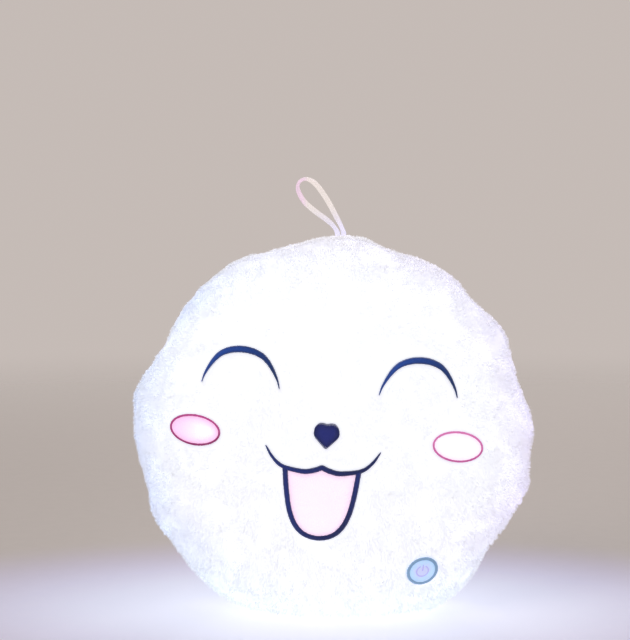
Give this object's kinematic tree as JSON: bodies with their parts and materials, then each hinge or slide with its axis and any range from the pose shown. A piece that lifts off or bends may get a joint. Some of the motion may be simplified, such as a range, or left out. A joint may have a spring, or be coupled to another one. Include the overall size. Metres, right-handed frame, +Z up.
{
  "type": "plush night light",
  "caption": "Round plush cushion that glows from inside, with a smiling embroidered face, a press switch patch, a hanging loop and a battery box behind a zip.",
  "frame": {"origin": "centre of the flat that the cushion stands on", "axes": "the face looks along -Y, +Z is up, +X is to the right of the face as it is seen"},
  "size_m": [0.35, 0.1693, 0.3782],
  "materials": {
    "plush": "white short-pile plush, lit from inside",
    "filling": "loose polyester fibre",
    "navy_thread": "satin-stitched navy thread",
    "nose_thread": "satin-stitched dark navy thread",
    "magenta_thread": "thin stitched magenta line",
    "pink_thread": "satin-stitched pale pink thread",
    "patch_felt": "pale blue woven patch",
    "patch_thread": "steel-blue overlocked edge",
    "satin_band": "white satin ribbon",
    "white_plastic": "moulded, fine satin",
    "diffuser_plastic": "milky, lit from inside",
    "lamp_board": "white solder mask",
    "switch_board": "green solder mask",
    "lamp_chip": "pale yellow phosphor",
    "black_plastic": "moulded",
    "cell_sleeve": "printed sleeve without words",
    "contact_metal": "nickel plated",
    "zip_metal": "nickel plated, lightly brushed",
    "zip_tape": "woven tape",
    "zip_nylon": "moulded nylon",
    "pocket_cloth": "thin woven lining",
    "lead_sheath": "soft white sheath"
  },
  "bodies": {
    "cushion": {"front_panel": "plush", "back_panel": "plush", "stuffing": "filling", "left_eye": "navy_thread", "right_eye": "navy_thread", "left_cheek_edge": "magenta_thread", "right_cheek_edge": "magenta_thread", "left_cheek_fill": "pink_thread", "right_cheek_fill": "pink_thread", "nose": "nose_thread", "lip_line": "navy_thread", "jaw_line": "navy_thread", "tongue": "pink_thread", "switch_patch_edge": "patch_thread", "switch_housing": "white_plastic", "switch_board": "switch_board", "tact_switch": "black_plastic", "light_base": "white_plastic", "light_board": "lamp_board", "light_diffuser": "diffuser_plastic", "led_1": "lamp_chip", "led_2": "lamp_chip", "led_3": "lamp_chip", "led_4": "lamp_chip", "battery_box": "white_plastic", "battery_1": "cell_sleeve", "battery_2": "cell_sleeve", "battery_3": "cell_sleeve", "contact_spring_1": "contact_metal", "contact_spring_2": "contact_metal", "contact_spring_3": "contact_metal", "contact_plate_1": "contact_metal", "contact_plate_2": "contact_metal", "contact_plate_3": "contact_metal", "spring_plate_1": "contact_metal", "spring_plate_2": "contact_metal", "spring_plate_3": "contact_metal", "battery_pocket": "pocket_cloth", "light_lead": "lead_sheath", "switch_lead": "lead_sheath", "zip_tape_upper": "zip_tape", "zip_tape_lower": "zip_tape", "zip_teeth_upper": "zip_nylon", "zip_teeth_lower": "zip_nylon", "zip_stop_start": "zip_nylon", "zip_stop_end": "zip_nylon", "loop_tack": "satin_band"},
    "switch_button": {"switch_patch": "patch_felt", "switch_cap": "white_plastic", "tact_stem": "black_plastic"},
    "box_cover": {"battery_cover": "white_plastic"},
    "slider": {"zip_slider": "zip_metal"},
    "pull": {"zip_pull": "zip_metal"},
    "loop": {"hanging_loop": "satin_band"}
  },
  "joints": [
    {"name": "switch_press", "type": "slide", "parent": "cushion", "child": "switch_button", "axis": [-0.254, 0.8902, 0.3783], "range_m": [0, 0.0012], "stiffness_N_per_m": 800, "springref_m": -0.0005},
    {"name": "cover_slide", "type": "slide", "parent": "cushion", "child": "box_cover", "axis": [1, 0, 0], "range_m": [0, 0.012]},
    {"name": "zip_travel", "type": "hinge", "parent": "cushion", "child": "slider", "pos_m": [0, -0.27274, 0.112], "axis": [0, 0, 1], "range_deg": [0, 14.69]},
    {"name": "pull_flip", "type": "hinge", "parent": "slider", "child": "pull", "pos_m": [0.04524, 0.0783, 0.112], "axis": [0, 0, -1], "range_deg": [0, 170]},
    {"name": "loop_tilt", "type": "hinge", "parent": "cushion", "child": "loop", "pos_m": [0.0072, 0, 0.32737], "axis": [1, 0, 0], "range_deg": [-50, 50], "stiffness_Nm_per_rad": 0.005}
  ]
}
